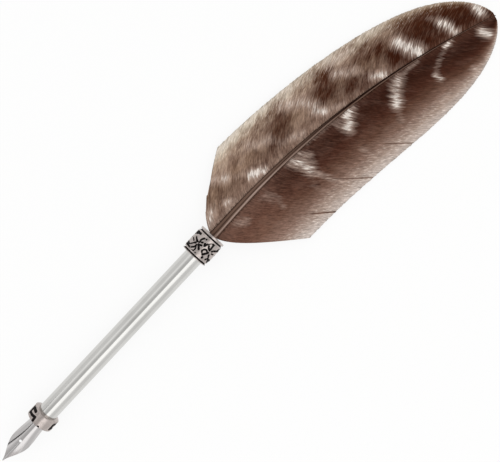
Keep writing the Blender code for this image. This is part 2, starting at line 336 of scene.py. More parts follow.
def carve(shape, start_x, floor, top, level_at):
    """Sinks the outer skin between two radii and keeps each corner's height share for the patina.

    level_at gets the distance from start_x, the angle from the crest and the radius. It gives the height
    share, 0 at the floor and 1 at the top, and whether the corner is moved to it.
    """
    relief = shape.verts.layers.float.new("relief")
    corners = list(shape.verts)
    places = np.array([corner.co for corner in corners])
    around = np.arctan2(places[:, 1] - AXIS_Y, places[:, 2] - AXIS_Z)
    radius = np.hypot(places[:, 1] - AXIS_Y, places[:, 2] - AXIS_Z)
    level, moves = level_at(places[:, 0] - start_x, around, radius)
    reach = np.where(moves, floor + (top - floor) * level, radius)
    places[:, 1] = AXIS_Y + reach * np.sin(around)
    places[:, 2] = AXIS_Z + reach * np.cos(around)
    for corner, place, height in zip(corners, places, level):
        corner.co = place
        corner[relief] = height


# Metals and wood


def rolled_steel(colours):
    """Pressed stainless steel, polished: clear reflections, drawn out along the sheet by rolling lines."""
    material, tree, shader = new_material("rolled_stainless_steel")
    place = add_node(tree, "TexCoord").outputs["Object"]
    # Rolling lines are some 0.02 mm apart; 0.25 mm shows
    stretch = add_node(tree, "Mapping", {"Vector": place}, {"Scale": (1 / 0.012, 1 / 0.00025, 1 / 0.00025)})
    lines = add_node(tree, "TexNoise", {"Vector": stretch}, {"Scale": 1.0, "Detail": 3.0})
    limits = {"From Min": 0.3, "From Max": 0.7, "To Min": 0.08, "To Max": 0.16}
    gloss = add_node(tree, "MapRange", {"Value": lines}, limits)
    stops = [(0.3, shaded(colours.steel, 0.9)), (0.7, colours.steel)]
    tint = add_node(tree, "ValToRGB", {"Fac": lines}, stops=stops)
    set_sockets(shader, {"Base Color": tint, "Roughness": gloss}, {"Metallic": 1.0})
    return material


def plated_tube(colours):
    """Nickel-plated drawn tube, polished: near-mirror bands along the tube with handling smudges."""
    material, tree, shader = new_material("polished_nickel_plate")
    place = add_node(tree, "TexCoord").outputs["Object"]
    # Drawing lines run along the tube, and show at about 0.3 mm; smudges are the size of a fingertip
    stretch = add_node(tree, "Mapping", {"Vector": place}, {"Scale": (1 / 0.06, 1 / 0.0003, 1 / 0.0003)})
    lines = add_node(tree, "TexNoise", {"Vector": stretch}, {"Scale": 1.0, "Detail": 2.0})
    smudges = add_node(tree, "TexNoise", {"Vector": place}, {"Scale": 1 / 0.009, "Detail": 4.0})
    both = add_node(tree, "Math", {0: lines, 1: smudges}, operation="MULTIPLY")
    limits = {"From Min": 0.12, "From Max": 0.42, "To Min": 0.07, "To Max": 0.17}
    gloss = add_node(tree, "MapRange", {"Value": both}, limits)
    stops = [(0.3, shaded(colours.chrome, 0.93)), (0.65, colours.chrome)]
    tint = add_node(tree, "ValToRGB", {"Fac": smudges}, stops=stops)
    set_sockets(shader, {"Base Color": tint, "Roughness": gloss}, {"Metallic": 1.0})
    return material


def antique_silver(colours):
    """Cast alloy plated in antique silver: rubbed bright on top, black patina in the recesses."""
    material, tree, shader = new_material("antique_silver_casting")
    place = add_node(tree, "TexCoord").outputs["Object"]
    relief = add_node(tree, "Attribute", attribute_name="relief").outputs["Fac"]
    # Casting skin and wear show as spots of about 0.8 mm, and grime as patches of about 3 mm
    spots = add_node(tree, "TexNoise", {"Vector": place}, {"Scale": 1 / 0.0008, "Detail": 4.0})
    grime = add_node(tree, "TexNoise", {"Vector": place}, {"Scale": 1 / 0.003, "Detail": 4.0})
    grain = add_node(tree, "Math", {0: spots, 1: grime}, operation="ADD")
    limits = {"From Min": 0.65, "From Max": 1.35, "To Min": -0.16, "To Max": 0.06}
    worn = add_node(tree, "MapRange", {"Value": grain}, limits)
    level = add_node(tree, "Math", {0: relief, 1: worn}, operation="ADD")
    silver = colours.silver
    # The patina also blackens the pit at the ring's mouth, where it is painted shade of the gap round the nib
    stops = [(0.35, colours.patina), (0.6, shaded(silver, 0.3)), (0.84, shaded(silver, 0.72)), (1.0, silver)]
    tint = add_node(tree, "ValToRGB", {"Fac": level}, stops=stops)
    bright = add_node(tree, "MapRange", {"Value": level}, {"From Min": 0.35, "From Max": 0.7})
    limits = {"From Min": 0.3, "From Max": 0.95, "To Min": 0.7, "To Max": 0.26}
    gloss = add_node(tree, "MapRange", {"Value": level}, limits)
    skin = add_node(tree, "Bump", {"Height": spots}, {"Strength": 0.25, "Distance": 0.00006})
    links = {"Base Color": tint, "Metallic": bright, "Roughness": gloss, "Normal": skin}
    set_sockets(shader, links, {"Specular IOR Level": 0.12})
    return material


def turned_brass(colours):
    """Plain turned brass: fine rings from the lathe tool, dulled by ink."""
    material, tree, shader = new_material("turned_brass")
    place = add_node(tree, "TexCoord").outputs["Object"]
    # Tool marks are some 0.15 mm apart; rings 0.94 mm apart show. The wave has 20 radians a metre at scale 1.
    values = {"Scale": 1 / (0.00015 * 20), "Distortion": 0.6, "Detail": 2.0}
    rings = add_node(tree, "TexWave", {"Vector": place}, values, bands_direction="X").outputs["Fac"]
    stops = [(0.1, shaded(colours.brass, 0.72)), (0.9, colours.brass)]
    tint = add_node(tree, "ValToRGB", {"Fac": rings}, stops=stops)
    gloss = add_node(tree, "MapRange", {"Value": rings}, {"To Min": 0.42, "To Max": 0.26})
    set_sockets(shader, {"Base Color": tint, "Roughness": gloss}, {"Metallic": 1.0})
    return material


def turned_wood(colours):
    """Turned beech, unfinished: matt, with short dark flecks along the grain."""
    material, tree, shader = new_material("turned_beech")
    place = add_node(tree, "TexCoord").outputs["Object"]
    # Beech flecks are about 2 mm long and 0.3 mm wide
    stretch = add_node(tree, "Mapping", {"Vector": place}, {"Scale": (1 / 0.002, 1 / 0.0003, 1 / 0.0003)})
    grain = add_node(tree, "TexNoise", {"Vector": stretch}, {"Scale": 1.0, "Detail": 4.0})
    stops = [(0.35, shaded(colours.wood, 0.55)), (0.6, colours.wood)]
    tint = add_node(tree, "ValToRGB", {"Fac": grain}, stops=stops)
    set_sockets(shader, {"Base Color": tint}, {"Roughness": 0.7})
    return material


# Nib

NIB_ROWS = 150
NIB_COLUMNS = 36
BREATHER_SIDES = 40
POINT_POWER = 1.6
FLATTENING_POWER = 1.5


def nib_half_width(sizes, x):
    """Half the nib's width from above: a concave point, round shoulders and a narrower shank."""
    shoulder = sizes.nib_shoulder / 2
    point = sizes.nib_point / 2
    if x < sizes.nib_shoulder_set:
        return point + (shoulder - point) * sin(pi / 2 * x / sizes.nib_shoulder_set) ** POINT_POWER
    shank = sizes.nib_shank_bend * sin(sizes.nib_wrap)
    ratio = min((x - sizes.nib_shoulder_set) / (sizes.nib_reach - sizes.nib_shoulder_set), 1.0)
    return shoulder + (shank - shoulder) * (1 - cos(pi * ratio)) / 2


def nib_place(sizes, x, across):
    """A point of the nib's middle surface at distance x from the point, with across from -1 to 1."""
    flattening = max(1 - x / sizes.nib_reach, 0.0)
    bend = sizes.nib_shank_bend + (sizes.nib_point_bend - sizes.nib_shank_bend) * flattening**FLATTENING_POWER
    crest = sizes.nib_shank_bend - sizes.nib_point_drop * flattening**2
    turn = asin(min(nib_half_width(sizes, x) / bend, sin(sizes.nib_wrap))) * across
    return Vector((x, bend * sin(turn), crest - bend * (1 - cos(turn))))


def cut_out(piece, shapes):
    """Cuts closed shapes out of a piece and keeps the result as its mesh."""
    cutters = [add_object("cutter", shape) for shape in shapes]
    for cutter in cutters:
        boolean = piece.modifiers.new("cut", "BOOLEAN")
        boolean.solver = "EXACT"
        boolean.object = cutter
    graph = bpy.context.evaluated_depsgraph_get()
    result = bpy.data.meshes.new_from_object(piece.evaluated_get(graph), depsgraph=graph)
    piece.modifiers.clear()
    piece.data = result
    for cutter in cutters:
        bpy.data.objects.remove(cutter, do_unlink=True)


class QUILL_OT_nib(bpy.types.Operator):
    """Makes the rolled steel nib with its slit and breather hole"""

    bl_idname = "quill.nib"
    bl_label = "Nib"

    def execute(self, context):
        sizes = context.scene.quill_metal
        point = Vector((RING_LOW[0] - sizes.nib_reach, AXIS_Y, AXIS_Z))
        whole = sizes.nib_reach + sizes.nib_insert
        shape = bmesh.new()
        bmesh.ops.create_grid(shape, x_segments=NIB_ROWS, y_segments=NIB_COLUMNS, size=1.0)
        for corner in shape.verts:
            corner.co = point + nib_place(sizes, (corner.co.x + 1) / 2 * whole, corner.co.y)
        bmesh.ops.recalc_face_normals(shape, faces=shape.faces)
        steel = rolled_steel(context.scene.quill_colours)
        nib = add_piece("nib_sheet", shape, steel, "nib", body="nib")
        thicken(nib, sizes.nib_sheet, 0.0)

        depth = 2 * sizes.nib_shank_bend
        radius = sizes.breather / 2
        breather = bmesh.new()
        bmesh.ops.create_cone(
            breather, cap_ends=True, segments=BREATHER_SIDES, radius1=radius, radius2=radius, depth=depth
        )
        slit = bmesh.new()
        bmesh.ops.create_cube(slit, size=1.0)
        bmesh.ops.scale(slit, verts=slit.verts, vec=(sizes.breather_set, sizes.slit, depth))
        slit_middle = sizes.breather_set / 2 - sizes.nib_sheet
        for cutter, x in ((breather, sizes.breather_set), (slit, slit_middle)):
            bmesh.ops.translate(cutter, verts=cutter.verts, vec=point + Vector((x, 0.0, depth / 2)))
        cut_out(nib, [breather, slit])
        shade_smooth(nib, METAL_CREASE)
        return {"FINISHED"}


# Ring, tube and ferrule

RING_SIDES = 420
RING_STEP = 0.09 * MM
FERRULE_SIDES = 520
FERRULE_STEP = 0.07 * MM
TUBE_SIDES = 128
TUBE_STEP = 10 * MM
SHARP_ANGLE = 40.0

# Shares of the radius past which a corner is on the ring's outer skin, on the outer part of its front face,
# and on the ferrule's outer skin
RING_SKIN = 0.98
RING_FRONT = 0.8
FERRULE_SKIN = 0.99

# Keys cut into the collar ring, each a foot, a leg, a wide bar round the shoulder and an eye: distance from
# the ring's front in millimetres and angle in degrees. The casting repeats them at these turns.
KEY_TURNS = (0.0, -130.0, 73.0, 146.0)
KEY_LEG = ((0.8, 20.0), (2.3, 22.0), (1.9, 40.0), (1.8, 62.0))
KEY_BAR = ((1.8, 64.0), (3.9, 64.0))
KEY_EYE = ((4.1, 54.0), (3.95, 37.0))
KEY_STROKES = ((KEY_LEG, 0.46), (KEY_BAR, 0.75), (KEY_EYE, 0.6))
KEY_SLOPE = 0.16
# Painted shade: a pit cut into the ring's mouth beside the nib, black with patina, stands in for the shaded
# gap where the nib goes in
MOUTH_SHADE_PIT = ((0.0, -12.0), (0.4, -12.0))
MOUTH_SHADE_PIT_HALF_WIDTH = 0.42

# Rosettes cast round the ferrule: distance from its tube end in millimetres, angle from the crest in degrees
# and which of the two patterns it has. Between them lie raised pads or dark corners, at these angles.
ROSETTES = ((5.07, 22.3, 0), (5.48, -41.4, 1), (5.2, 97.0, 1), (5.2, 168.0, 0), (5.3, -116.0, 0))
ROSETTE_SLOPE = 0.3
PAD_ANGLES = (-10.0, 133.0, -153.0)
PADS = ((0.5, ((2.0, 0.3), (2.8, -0.2))), (0.5, ((8.3, 0.2), (8.9, -0.3))))
CORNER_ANGLES = (60.0, -80.0)
CORNER_SLOPE = 0.2

# Dark recesses round the petals of the two rosettes: half width and line, in millimetres from the middle,
# along the tube and round it
ROSETTE_RECESSES = (
    (
        (0.26, ((-0.35, 0.85), (-0.6, 1.3))),
        (0.13, ((-0.6, 1.3), (-1.4, 1.9), (-2.2, 2.7))),
        (0.18, ((-0.7, -0.1), (-1.9, 0.05), (-2.8, 1.0))),
        (0.1, ((-3.8, 0.3), (-3.2, -0.8), (-2.0, -0.85), (-1.3, -0.35))),
        (0.26, ((0.45, 0.6), (0.75, 1.4))),
        (0.18, ((0.75, 1.4), (1.5, 2.7))),
        (0.08, ((-0.2, 2.3), (0.2, 3.3), (0.45, 4.0))),
        (0.2, ((0.8, -0.2), (2.0, -0.1), (2.8, -0.45), (3.2, -0.8))),
        (0.26, ((-0.1, -0.6), (-0.6, -1.2), (-1.4, -1.95))),
        (0.2, ((0.0, -0.9), (0.4, -1.8))),
        (0.17, ((1.3, -1.0), (1.6, -1.4))),
        (0.32, ((1.2, -2.8), (1.7, -2.5))),
        (0.16, ((-3.5, -1.85), (-3.4, -1.85))),
        (0.14, ((3.4, -1.7), (3.5, -1.7))),
    ),
    (
        (0.3, ((-0.5, 0.65), (-1.3, 1.2), (-2.3, 2.0))),
        (0.14, ((-2.3, 2.6), (-1.25, 3.3), (-0.4, 2.9), (0.0, 2.2), (-0.25, 1.4))),
        (0.26, ((0.7, 0.8), (2.2, 1.0), (3.6, 1.1))),
        (0.18, ((0.8, 1.3), (1.2, 2.0), (1.8, 2.4))),
        (0.26, ((3.4, 1.6), (3.6, 1.0))),
        (0.15, ((1.25, 3.5), (2.2, 3.25), (3.0, 2.6))),
        (0.34, ((-3.35, 1.25), (-3.25, 1.25))),
        (0.24, ((-3.1, -0.6), (-2.3, -1.5), (-1.0, -0.4))),
        (0.26, ((0.9, -0.3), (1.6, -1.1), (1.9, -2.0))),
        (0.4, ((2.3, -2.8), (2.5, -2.8))),
        (0.1, ((0.1, -1.0), (0.2, -2.4))),
    ),
)

# Dark corners between two rosettes: half width and line, in millimetres along the tube and round it
CORNER_RECESSES = (
    (0.5, ((1.7, 1.3), (1.65, -2.0))),
    (0.75, ((2.6, 1.5), (2.2, -0.5))),
    (0.36, ((8.55, 1.3), (8.55, -2.0))),
    (0.55, ((7.9, 1.5), (8.2, -0.4))),
)


def key_level(x, around, radius):
    """0 where the ring's ornament and the painted-shade pit at its mouth are cut and 1 elsewhere, and whether
    a corner is on the outer skin.
    """

    def cut_by(points, half_width, turn):
        first = points[0][1]
        across = (angle_from(around, turn + first) + radians(first)) * RING_RADIUS / MM
        line = [(along, radians(degrees) * RING_RADIUS / MM) for along, degrees in points]
        return stroke(x / MM, across, line, half_width, KEY_SLOPE)

    mouth_shade = cut_by(MOUTH_SHADE_PIT, MOUTH_SHADE_PIT_HALF_WIDTH, 0.0)
    keys = [cut_by(points, half_width, turn) for turn in KEY_TURNS for points, half_width in KEY_STROKES]
    skin = radius > RING_RADIUS * RING_SKIN
    front = radius > RING_RADIUS * RING_FRONT
    return 1.0 - np.where(skin, np.max([mouth_shade, *keys], axis=0), np.where(front, mouth_shade, 0.0)), skin


def rosette_level(x, around):
    """Height share of the ferrule's rosette band, with x in millimetres from the tube end."""

    def drawn(strokes, turn, slope, start=0.0):
        across = angle_from(around, turn) * FERRULE_RADIUS / MM
        return np.max([stroke(x - start, across, line, half, slope) for half, line in strokes], axis=0)

    level = np.ones(x.shape)
    for start, turn, pattern in ROSETTES:
        level = np.minimum(level, 1.0 - drawn(ROSETTE_RECESSES[pattern], turn, ROSETTE_SLOPE, start))
    for turn in PAD_ANGLES:
        level = np.maximum(level, drawn(PADS, turn, CORNER_SLOPE))
    for turn in CORNER_ANGLES:
        level = np.minimum(level, 1.0 - drawn(CORNER_RECESSES, turn, CORNER_SLOPE))
    return level


class QUILL_OT_rings(bpy.types.Operator):
    """Makes the cast collar ring and the cast ferrule with their ornament"""

    bl_idname = "quill.rings"
    bl_label = "Ring and ferrule"

    def execute(self, context):
        sizes = context.scene.quill_metal
        silver = antique_silver(context.scene.quill_colours)
        bore = TUBE_RADIUS - sizes.tube_wall
        sleeve = TUBE_RADIUS + sizes.fit_gap

        start = RING_LOW[0]
        face = sleeve + sizes.ring_face
        outside = evenly(sizes.ring_chamfer, RING_LENGTH - sizes.ring_chamfer, RING_STEP)
        profile = [(0.0, bore), (0.0, face)] + [(x, RING_RADIUS) for x in outside]
        profile += [(RING_LENGTH, face), (RING_LENGTH, sleeve)]
        profile += [(sizes.ring_lip, sleeve), (sizes.ring_lip, bore)]
        shape = turned([(start + x, radius) for x, radius in profile], RING_SIDES)
        carve(shape, start, RING_RADIUS - sizes.key_depth, RING_RADIUS, key_level)
        add_piece("collar_ring_cast", shape, silver, "collar_ring")

        start = FERRULE_LOW[0]
        outer = FERRULE_RADIUS - sizes.rim_step
        groove_floor = outer - sizes.groove_depth
        quill_bore = context.scene.quill_feather.base_width / 2 + sizes.fit_gap
        lip = FERRULE_LENGTH - sizes.ferrule_lip

        def end_profile(bead):
            groove_end = bead + sizes.groove
            return [
                (0.0, outer),
                (bead, outer),
                (bead, groove_floor),
                (groove_end, groove_floor),
                (groove_end, outer),
                (groove_end + sizes.rim, outer),
            ]

        front = end_profile(sizes.front_bead)
        back = [(FERRULE_LENGTH - x, radius) for x, radius in reversed(end_profile(sizes.back_bead))]
        band_start = front[-1][0]
        band_end = back[0][0]
        band = [(x, FERRULE_RADIUS) for x in evenly(band_start, band_end, FERRULE_STEP)[1:-1]]
        inside = [(FERRULE_LENGTH, quill_bore), (lip, quill_bore), (lip, sleeve), (0.0, sleeve)]
        shape = turned([(start + x, radius) for x, radius in front + band + back + inside], FERRULE_SIDES)

        def band_level(x, around, radius):
            in_band = (x > band_start + SAME_PLACE) & (x < band_end - SAME_PLACE)
            skin = in_band & (radius > FERRULE_RADIUS * FERRULE_SKIN)
            groove = abs(radius - groove_floor) < SAME_PLACE
            return np.where(skin, rosette_level(x / MM, around), np.where(groove, 0.0, 1.0)), skin

        carve(shape, start, FERRULE_RADIUS - sizes.rosette_depth, FERRULE_RADIUS, band_level)
        add_piece("ferrule_cast", shape, silver, "ferrule")
        return {"FINISHED"}


class QUILL_OT_tube(bpy.types.Operator):
    """Makes the polished tube, and finishes the plug and the bush inside it"""

    bl_idname = "quill.tube"
    bl_label = "Tube"

    def execute(self, context):
        sizes = context.scene.quill_metal
        colours = context.scene.quill_colours
        bore = TUBE_RADIUS - sizes.tube_wall
        # Loops close to both ends keep the softened ends out of the long reflections
        stations = evenly(TUBE_LOW[0] + sizes.tube_wall, TUBE_HIGH[0] - sizes.tube_wall, TUBE_STEP)
        stations = [TUBE_LOW[0]] + stations + [TUBE_HIGH[0]]
        profile = [(x, TUBE_RADIUS) for x in stations] + [(x, bore) for x in reversed(stations)]
        shape = turned(profile, TUBE_SIDES)
        bmesh.ops.bevel(
            shape,
            geom=[edge for edge in shape.edges if edge.calc_face_angle() > radians(SHARP_ANGLE)],
            affect="EDGES",
            offset=sizes.tube_wall / 4,
            segments=2,
            profile=0.5,
            material=-1,
            clamp_overlap=True,
        )
        add_piece("tube_plated", shape, plated_tube(colours), "barrel_tube")
        for node, material in (("nib_core", turned_brass(colours)), ("calamus_bush", turned_wood(colours))):
            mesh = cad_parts[node].data
            mesh.materials.clear()
            mesh.materials.append(material)
        return {"FINISHED"}


# Feather shaft

SHAFT_SIDES = 40
SHAFT_RINGS = 150
SHAFT_CREASE = 60.0
# The shaft's groove is at its full depth after this share of the feather
GROOVE_START = 1 / 8


def shaft_line(feather, station):
    """Centres of the shaft at stations past the ferrule, and level unit vectors towards the left vane.

    It is straight in the bush, eases into a small lean to the left, and is swept to the right and down.
    """
    past = np.maximum(station, 0.0)
    ratio = past / feather.reach
    aside = feather.lean * past**2 / (past + feather.lean_run) - feather.sweep * ratio**2
    slope = feather.lean * past * (past + 2 * feather.lean_run) / (past + feather.lean_run) ** 2
    slope = slope - 2 * feather.sweep * ratio / feather.reach
    centre = np.stack([station, aside, -feather.drop * ratio**2], axis=-1)
    side = np.stack([-slope, np.ones(slope.shape), np.zeros(slope.shape)], axis=-1)
    return centre + (FEATHER_X, AXIS_Y, AXIS_Z), side / np.linalg.norm(side, axis=-1, keepdims=True)


def shaft_radius(feather, station):
    """Half the shaft's width at stations past the ferrule."""
    ratio = np.clip(station / feather.reach, 0.0, 1.0)
    straight = feather.base_width + (feather.tip_width - feather.base_width) * ratio
    return straight * (1 - feather.thinning * ratio) / 2


def shaft_horn(colours):
    """Keratin of a feather's shaft: satin brown horn, with painted shade at its edges and in its groove and a
    painted highlight along its ridge.
    """
    material, tree, shader = new_material("feather_shaft_keratin")
    round_map = add_node(tree, "UVMap", uv_map="around")
    parts = add_node(tree, "SeparateXYZ", {"Vector": round_map})
    # Fibres show as streaks about 0.2 mm wide, a fortieth of the way round, and 15 mm long
    stretch = add_node(tree, "Mapping", {"Vector": round_map}, {"Scale": (1 / 0.015, 40.0, 1.0)})
    fibres = add_node(tree, "TexNoise", {"Vector": stretch}, {"Scale": 1.0, "Detail": 3.0})
    limits = {"From Min": 0.3, "From Max": 0.7, "To Min": -0.03, "To Max": 0.03}
    drift = add_node(tree, "MapRange", {"Value": fibres}, limits)
    side = add_node(tree, "Math", {0: parts.outputs["Y"], 1: drift}, operation="ADD")
    # Round the shaft from the right edge, at 0, over the crest, at 0.25, to the left edge, at 0.5: painted
    # shade at the edges and in the groove on the crest, and a painted highlight on the ridge between them
    base_stops = [
        (0.02, colours.horn_shade),
        (0.09, colours.horn),
        (0.15, colours.horn_highlight),
        (0.21, colours.horn),
        (0.25, colours.horn_shade),
        (0.30, colours.horn),
        (0.36, colours.horn),
        (0.43, colours.horn_shade),
    ]
    # Towards the tip the horn is dark, with painted shade at its edges and a thin painted highlight along its
    # right edge
    tip_stops = [
        (0.02, colours.horn_shade),
        (0.05, colours.horn),
        (0.18, colours.horn),
        (0.23, colours.horn_black),
        (0.41, colours.horn_black),
        (0.47, colours.horn_shade),
    ]
    base = add_node(tree, "ValToRGB", {"Fac": side}, stops=base_stops)
    tip = add_node(tree, "ValToRGB", {"Fac": side}, stops=tip_stops)
    outer = add_node(tree, "MapRange", {"Value": parts}, {"From Min": 0.03, "From Max": 0.075})
    tint = add_node(tree, "Mix", {0: outer, 6: base, 7: tip}, data_type="RGBA").outputs[2]
    gloss = add_node(tree, "MapRange", {"Value": fibres}, {"To Min": 0.35, "To Max": 0.55})
    set_sockets(shader, {"Base Color": tint, "Roughness": gloss}, {"Specular IOR Level": 0.02})
    return material


class QUILL_OT_shaft(bpy.types.Operator):
    """Makes the feather's quill and grooved shaft"""

    bl_idname = "quill.shaft"
    bl_label = "Feather shaft"

    def execute(self, context):
        feather = context.scene.quill_feather
        shape = bmesh.new()
        bmesh.ops.create_cone(shape, cap_ends=True, segments=SHAFT_SIDES, radius1=1.0, radius2=1.0, depth=1.0)
        lengthwise = [edge for edge in shape.edges if abs(edge.verts[0].co.z - edge.verts[1].co.z) > 0.5]
        bmesh.ops.subdivide_edges(shape, edges=lengthwise, cuts=SHAFT_RINGS, use_grid_fill=True)
        around = shape.loops.layers.uv.new("around")
        corners = list(shape.verts)
        unit = np.array([corner.co for corner in corners])
        stations = -feather.calamus + (unit[:, 2] + 0.5) * (feather.reach + feather.calamus)
        turns = np.arctan2(unit[:, 1], unit[:, 0])
        radius = shaft_radius(feather, stations)
        dent = np.exp(-(((turns - pi / 2) / feather.groove_half) ** 2))
        dent = dent * np.clip(stations / feather.reach / GROOVE_START, 0.0, 1.0)
        height = radius * np.sin(turns) - feather.groove_depth * dent * radius / (feather.base_width / 2)
        centre, side = shaft_line(feather, stations)
        points = centre + side * (radius * np.cos(turns))[:, None]
        points[:, 2] += height
        places = {}
        for corner, point, station, turn in zip(corners, points, stations, turns):
            corner.co = point
            places[corner] = (station, (turn / (2 * pi)) % 1.0)
        # Angle 0 is the left edge, so the map's second number runs from the right edge over the crest
        for face in shape.faces:
            turns = [places[loop.vert][1] for loop in face.loops]
            wraps = max(turns) - min(turns) > 0.5
            for loop in face.loops:
                station, turn = places[loop.vert]
                turn += 1.0 if wraps and turn < 0.5 else 0.0
                loop[around].uv = (station, 0.5 - turn)
        horn = shaft_horn(context.scene.quill_colours)
        add_piece("shaft_horn", shape, horn, "feather_shaft", crease=SHAFT_CREASE)
        return {"FINISHED"}


# Vanes

# Marks of each vane: strength from 0 to 1, spread, and a line of places by their distance past the ferrule
# and out from the shaft, all in millimetres
LEFT_PALE_MARKS = (
    (0.3, 1.4, ((3.0, 2.2), (17.0, 2.4))),
    (0.6, 2.2, ((1.5, 4.0), (6.0, 7.0))),
    (0.6, 1.6, ((13.0, 5.0), (15.5, 3.5))),
    (0.6, 2.0, ((16.5, 14.5), (20.5, 11.5))),
    (0.3, 1.6, ((20.5, 11.5), (28.0, 6.0))),
    (1.0, 1.7, ((28.5, 5.4), (32.5, 3.2))),
    (0.5, 2.0, ((35.5, 15.0), (38.5, 12.0), (42.5, 10.5))),
    (0.3, 1.6, ((42.5, 10.5), (45.0, 6.0), (50.0, 5.0))),
    (0.5, 1.6, ((50.0, 5.0), (54.0, 3.0))),
    (0.55, 2.6, ((55.0, 17.5), (62.0, 13.5))),
    (0.65, 2.3, ((62.0, 13.0), (64.8, 8.0))),
    (0.3, 2.2, ((52.0, 20.5), (90.0, 19.5))),
    (0.8, 1.7, ((63.5, 6.8), (66.5, 4.2))),
    (0.4, 1.4, ((67.0, 4.0), (74.0, 1.6))),
    (0.6, 1.9, ((79.0, 14.0), (81.5, 11.5), (85.5, 10.0))),
    (0.55, 2.2, ((79.0, 18.0), (88.0, 19.0))),
    (0.3, 1.6, ((85.5, 10.5), (89.0, 5.0))),
    (0.85, 1.6, ((89.5, 4.0), (94.0, 1.8))),
    (1.0, 2.1, ((105.4, 10.0), (107.8, 6.0), (110.6, 2.0))),
    (0.3, 1.4, ((120.5, 12.0), (123.0, 9.0))),
    (0.85, 1.6, ((123.5, 8.0), (124.8, 6.0), (127.0, 1.5))),
    (1.0, 1.6, ((138.6, 7.0), (139.4, 3.5))),
)
LEFT_DARK_MARKS = (
    (0.3, 3.8, ((8.0, 9.5), (15.0, 10.0))),
    (0.25, 3.4, ((22.0, 7.0), (26.0, 8.0))),
    (0.35, 2.6, ((35.5, 3.5), (37.0, 9.0))),
    (0.2, 3.5, ((30.0, 13.0), (34.0, 14.5))),
    (0.64, 5.4, ((44.5, 9.0), (48.5, 11.5), (51.0, 13.5))),
    (0.25, 2.6, ((56.0, 5.0), (60.0, 5.5))),
    (0.72, 5.6, ((70.0, 11.0), (72.5, 13.0), (74.5, 15.5))),
    (0.45, 3.2, ((73.0, 8.5), (78.0, 6.0))),
    (0.5, 3.0, ((80.0, 5.0), (86.0, 5.0))),
    (0.35, 4.8, ((89.0, 13.5), (97.0, 14.0))),
    (0.35, 4.0, ((97.0, 9.0), (100.0, 6.0))),
)
LEFT_FADED_MARKS = (
    (0.45, 4.0, ((100.5, 17.5), (104.5, 12.5))),
    (0.3, 3.0, ((93.0, 4.0), (96.0, 5.0))),
)
RIGHT_PALE_MARKS = (
    (0.35, 1.8, ((10.0, 3.5), (13.5, 6.5))),
    (0.25, 1.4, ((24.0, 4.0), (27.0, 8.0))),
    (0.28, 1.4, ((27.0, 4.5), (29.0, 8.0), (28.0, 13.0))),
    (0.78, 1.9, ((43.0, 2.0), (45.5, 6.0), (46.6, 10.0))),
    (0.5, 1.5, ((47.5, 1.5), (50.8, 5.5))),
    (0.4, 2.4, ((46.0, 3.0), (48.5, 8.0))),
    (0.33, 0.9, ((52.0, 1.0), (66.0, 1.0))),
    (0.5, 1.2, ((46.6, 10.0), (50.5, 18.0), (53.5, 22.0))),
    (0.2, 3.0, ((44.0, 15.0), (45.0, 23.0))),
    (0.35, 1.8, ((66.5, 1.5), (68.0, 5.0))),
    (0.88, 2.0, ((74.2, 1.4), (72.0, 3.5), (69.5, 7.0))),
    (0.3, 1.6, ((69.0, 17.0), (71.0, 22.0))),
    (0.4, 0.9, ((108.0, 0.8), (103.0, 1.6), (98.0, 2.8))),
    (0.72, 2.1, ((97.5, 3.2), (95.0, 5.0), (92.8, 8.0))),
    (1.0, 1.7, ((92.4, 8.2), (91.2, 11.0))),
    (0.3, 1.4, ((90.5, 12.0), (90.0, 16.0), (90.3, 21.0))),
    (0.85, 1.0, ((123.0, 1.0), (120.5, 1.8))),
    (0.3, 1.2, ((119.0, 2.6), (114.5, 6.0), (111.8, 9.6))),
    (0.85, 0.9, ((111.4, 9.4), (112.6, 12.0))),
    (0.4, 1.6, ((110.0, 19.0), (111.5, 21.5))),
    (0.55, 1.6, ((126.5, 15.5), (128.0, 17.0))),
    (0.9, 1.5, ((135.9, 3.4), (138.2, 5.8))),
)
RIGHT_DARK_MARKS = (
    (0.15, 6.0, ((56.0, 8.0), (60.0, 10.0))),
    (0.15, 6.0, ((101.0, 6.0), (106.0, 10.0))),
)
RIGHT_NICKS = ((1.6, 0.45, ((40.3, 13.0), (43.0, 15.2), (45.0, 16.2))),)

# Slow changes along each vane: amount, and where the change starts and ends in millimetres past the ferrule
LEFT_DARKENING = ((0.12, 20.0, 45.0), (0.2, 60.0, 85.0), (0.65, 88.0, 110.0))
LEFT_CALMING = ((0.85, 85.0, 110.0),)
LEFT_NARROWING = ((0.4, 105.0, 125.0),)
RIGHT_DARKENING = ((0.75, 14.0, 42.0), (0.25, 55.0, 100.0))
RIGHT_NARROWING = ((0.9, 108.0, 138.0),)
RIGHT_MOTTLE = 0.2

# How a mark fades out: the power that flattens its middle, and the share of it that is a wide halo
PALE_FADE = (2.0, 0.35)
PATCH_FADE = (3.0, 0.2)
PLAIN_FADE = (2.0, 0.0)
HALO_SPREAD = 2.2

